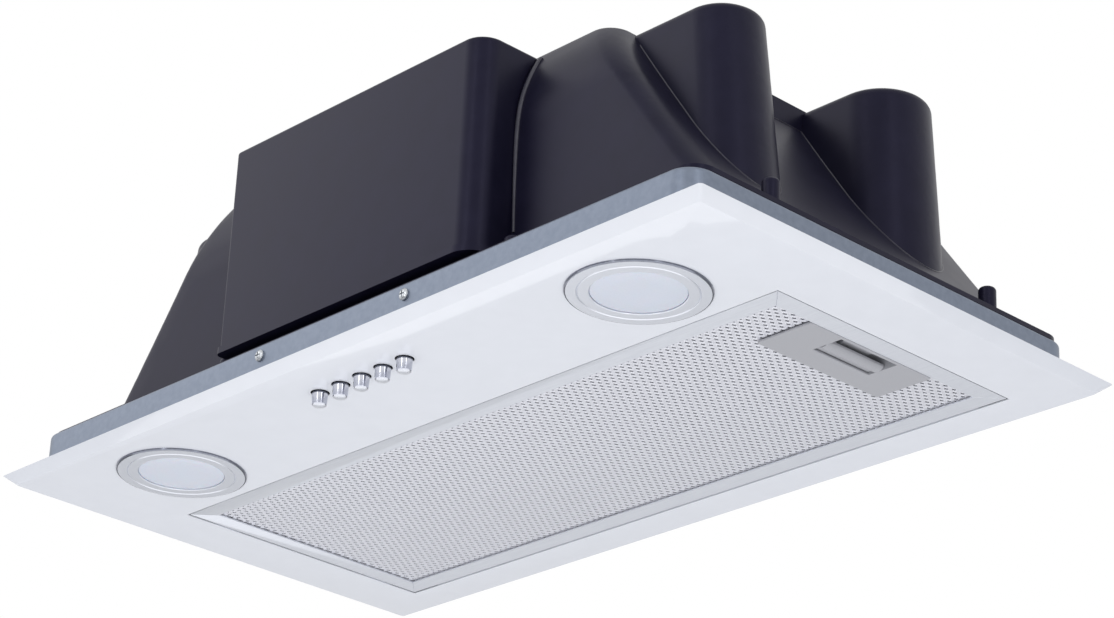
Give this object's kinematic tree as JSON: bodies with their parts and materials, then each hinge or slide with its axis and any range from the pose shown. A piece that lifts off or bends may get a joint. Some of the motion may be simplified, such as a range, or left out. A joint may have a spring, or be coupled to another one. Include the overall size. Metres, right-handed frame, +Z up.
{
  "type": "built-in range hood",
  "caption": "Built-in range hood with a flat painted panel, round lamps, push buttons, a drop-down grease filter, a steel tray and a black moulded fan housing with a round duct outlet.",
  "frame": {"origin": "centre of the plane where the panel's rim seats on the cabinet's underside", "axes": "+X along the panel's width, -Y towards the user and the buttons, +Z up into the cabinet"},
  "size_m": [0.525, 0.29, 0.196],
  "materials": {
    "white_enamel": "glossy baked enamel",
    "galvanised_steel": "dull zinc coat",
    "zinc_screw": "bright zinc plate",
    "black_abs": "glossy moulded",
    "black_pp": "satin moulded",
    "chrome_cap": "polished plate",
    "satin_nickel": "satin turned",
    "opal_lens": "opal diffuser",
    "frame_aluminium": "matte rolled",
    "mesh_aluminium": "bright expanded sheet",
    "core_aluminium": "knitted layers",
    "grey_plastic": "fine moulded texture",
    "motor_paint": "satin paint",
    "plain_steel": "ground",
    "impeller_plastic": "moulded",
    "scroll_steel": "dull zinc coat",
    "rubber_gland": "moulded",
    "capacitor_case": "moulded",
    "terminal_plastic": "moulded",
    "switch_plastic": "moulded",
    "lamp_alloy": "cast"
  },
  "bodies": {
    "hood": {"front_panel": "white_enamel", "steel_tray": "galvanised_steel", "tray_screws": "zinc_screw", "fan_housing": "black_abs", "lid_left": "black_abs", "lid_right": "black_abs", "lid_front": "black_abs", "lid_rear": "black_abs", "housing_screws": "zinc_screw", "control_box": "black_abs", "capacitor": "capacitor_case", "terminal_block": "terminal_plastic", "led_driver": "switch_plastic", "switch_bracket": "galvanised_steel", "switch_block": "switch_plastic", "scroll_wrap": "scroll_steel", "scroll_side_left": "scroll_steel", "scroll_side_right": "scroll_steel", "motor_body": "motor_paint", "motor_bracket": "scroll_steel", "outlet_collar": "black_pp", "flap_pin": "plain_steel", "cable_gland": "rubber_gland", "lamp_bezel_left": "satin_nickel", "lamp_lens_left": "opal_lens", "lamp_body_left": "lamp_alloy", "lamp_clips_left": "plain_steel", "lamp_bezel_right": "satin_nickel", "lamp_lens_right": "opal_lens", "lamp_body_right": "lamp_alloy", "lamp_clips_right": "plain_steel"},
    "fan": {"impeller": "impeller_plastic", "motor_shaft": "plain_steel"},
    "filter": {"filter_frame": "frame_aluminium", "filter_mesh_front": "mesh_aluminium", "filter_core": "core_aluminium", "filter_mesh_back": "mesh_aluminium", "filter_handle": "grey_plastic"},
    "latch": {"latch_slide": "grey_plastic"},
    "rear_flap": {"flap_rear": "black_pp"},
    "front_flap": {"flap_front": "black_pp"},
    "push_button_1": {"button_1": "chrome_cap"},
    "push_button_2": {"button_2": "chrome_cap"},
    "push_button_3": {"button_3": "chrome_cap"},
    "push_button_4": {"button_4": "chrome_cap"},
    "push_button_5": {"button_5": "chrome_cap"}
  },
  "joints": [
    {"name": "fan_spin", "type": "hinge", "parent": "hood", "child": "fan", "pos_m": [0, -0.02, 0.08], "axis": [1, 0, 0], "continuous": true},
    {"name": "filter_tilt", "type": "hinge", "parent": "hood", "child": "filter", "pos_m": [-0.219, 0.0332, -0.0042], "axis": [0, 1, 0], "range_deg": [0, 80]},
    {"name": "latch_pull", "type": "slide", "parent": "filter", "child": "latch", "axis": [-1, 0, 0], "range_m": [0, 0.0024], "stiffness_N_per_m": 400, "springref_m": -0.002},
    {"name": "rear_flap_lift", "type": "hinge", "parent": "hood", "child": "rear_flap", "pos_m": [0, 0.0265, 0.1517], "axis": [1, 0, 0], "range_deg": [0, 72]},
    {"name": "front_flap_lift", "type": "hinge", "parent": "hood", "child": "front_flap", "pos_m": [0, 0.0265, 0.1517], "axis": [-1, 0, 0], "range_deg": [0, 72]},
    {"name": "button_1_press", "type": "slide", "parent": "hood", "child": "push_button_1", "axis": [0, 0, 1], "range_m": [0, 0.0035], "stiffness_N_per_m": 300, "springref_m": -0.003},
    {"name": "button_2_press", "type": "slide", "parent": "hood", "child": "push_button_2", "axis": [0, 0, 1], "range_m": [0, 0.0035], "stiffness_N_per_m": 300, "springref_m": -0.003},
    {"name": "button_3_press", "type": "slide", "parent": "hood", "child": "push_button_3", "axis": [0, 0, 1], "range_m": [0, 0.0035], "stiffness_N_per_m": 300, "springref_m": -0.003},
    {"name": "button_4_press", "type": "slide", "parent": "hood", "child": "push_button_4", "axis": [0, 0, 1], "range_m": [0, 0.0035], "stiffness_N_per_m": 300, "springref_m": -0.003},
    {"name": "button_5_press", "type": "slide", "parent": "hood", "child": "push_button_5", "axis": [0, 0, 1], "range_m": [0, 0.0035], "stiffness_N_per_m": 300, "springref_m": -0.003}
  ]
}
